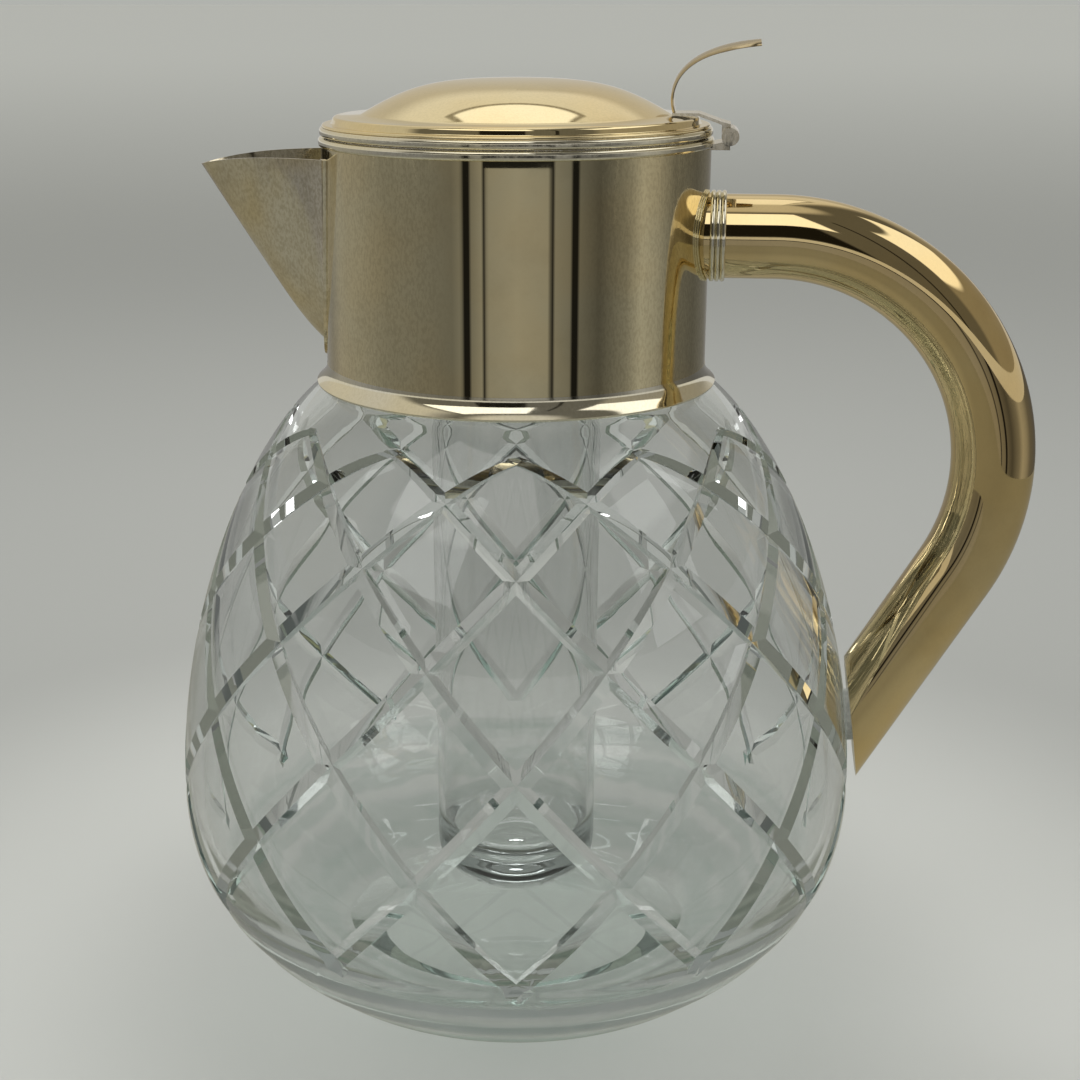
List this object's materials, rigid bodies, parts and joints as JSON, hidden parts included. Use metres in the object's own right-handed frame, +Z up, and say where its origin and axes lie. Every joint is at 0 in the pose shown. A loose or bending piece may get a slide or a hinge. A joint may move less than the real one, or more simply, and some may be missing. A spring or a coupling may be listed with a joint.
{
  "type": "claret jug",
  "caption": "Cut glass jug with a metal collar, open spout, hinged domed lid, tube handle and a glass ice tube hanging in the neck.",
  "frame": {"origin": "centre of the flat base, on the surface that the jug stands on", "axes": "+Z up along the axis of the bowl, +X towards the handle, -X towards the spout"},
  "size_m": [0.2483, 0.201, 0.2855],
  "materials": {
    "glass": "clear cut crystal, polished",
    "insert_glass": "clear blown glass, polished",
    "plated_band": "silver plate with a warm lacquer tone, polished, faint vertical brushing",
    "plated_bright": "silver plate with a warm tone, mirror polished",
    "plated_handle": "silver plate with a warm gold tone, mirror polished",
    "hinge_metal": "bare nickel silver, slightly dull",
    "cement": "white plaster cement",
    "bumper": "soft clear bumper"
  },
  "bodies": {
    "jug": {"glass_body": "glass", "neck_cement": "cement", "collar_band": "plated_band", "collar_foot": "plated_bright", "collar_rim": "plated_bright", "insert_seat": "plated_bright", "spout": "plated_bright", "spout_flange": "plated_bright", "collar_knuckle_front": "hinge_metal", "collar_knuckle_back": "hinge_metal", "hinge_bracket": "hinge_metal", "hinge_pin": "hinge_metal", "handle_socket": "plated_bright", "handle_ferrule": "plated_bright", "handle_tube": "plated_handle", "handle_end": "plated_bright", "handle_bumper": "bumper"},
    "lid": {"lid_dome": "plated_bright", "lid_rim": "plated_bright", "lid_skirt": "plated_bright", "lid_leaf": "hinge_metal", "lid_knuckle": "hinge_metal", "thumb_piece": "plated_bright"},
    "ice_tube": {"ice_tube": "insert_glass"}
  },
  "joints": [
    {"name": "lid_hinge", "type": "hinge", "parent": "jug", "child": "lid", "pos_m": [0.059, 0, 0.2601], "axis": [0, 1, 0], "range_deg": [0, 105]},
    {"name": "ice_tube_lift", "type": "slide", "parent": "jug", "child": "ice_tube", "axis": [0, 0, 1], "range_m": [0, 0.092]}
  ],
  "couplings": [
    {"joint": "ice_tube_lift", "follows": "lid_hinge", "m_per_rad": 0.05}
  ]
}
